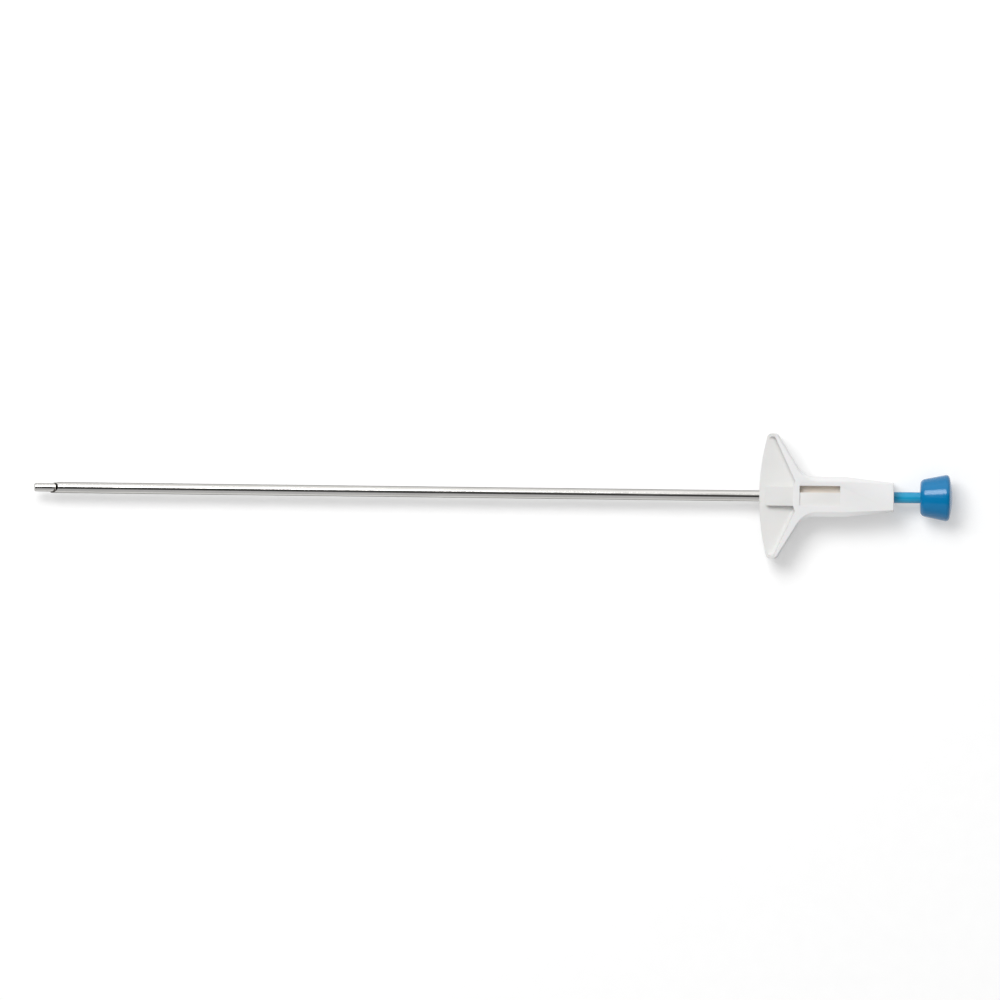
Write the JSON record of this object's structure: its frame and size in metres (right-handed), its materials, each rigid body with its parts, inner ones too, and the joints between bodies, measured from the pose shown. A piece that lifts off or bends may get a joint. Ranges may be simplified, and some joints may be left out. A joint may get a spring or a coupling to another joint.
{
  "type": "trocar site closure device",
  "caption": "Suture-passing needle with a spring-loaded blunt stylet that has a side notch, a white winged handle and a blue push knob.",
  "frame": {"origin": "on the needle's axis at the front of the finger flange, where the needle leaves the handle", "axes": "+X along the needle's axis towards the knob, +Y across the finger flange, +Z out of the handle face that has the window"},
  "size_m": [0.1775, 0.0242, 0.009],
  "materials": {
    "needle_steel": "drawn and ground stainless",
    "stylet_steel": "polished stainless",
    "spring_steel": "drawn wire",
    "white_moulding": "satin moulded",
    "cap_moulding": "satin moulded",
    "carrier_plastic": "natural acetal",
    "rod_blue": "glossy",
    "knob_blue": "glossy"
  },
  "bodies": {
    "handle_assembly": {"handle": "white_moulding", "end_cap": "cap_moulding", "needle": "needle_steel", "needle_ferrule": "needle_steel", "front_spring": "spring_steel", "rear_spring": "spring_steel"},
    "plunger_assembly": {"stylet": "stylet_steel", "stylet_carrier": "carrier_plastic", "carrier_pins": "stylet_steel", "plunger_rod": "rod_blue", "knob": "knob_blue"}
  },
  "joints": [
    {"name": "stylet_slide", "type": "slide", "parent": "handle_assembly", "child": "plunger_assembly", "axis": [1, 0, 0], "range_m": [-0.005, 0.003], "stiffness_N_per_m": 500, "deforming": ["front_spring", "rear_spring"]}
  ]
}
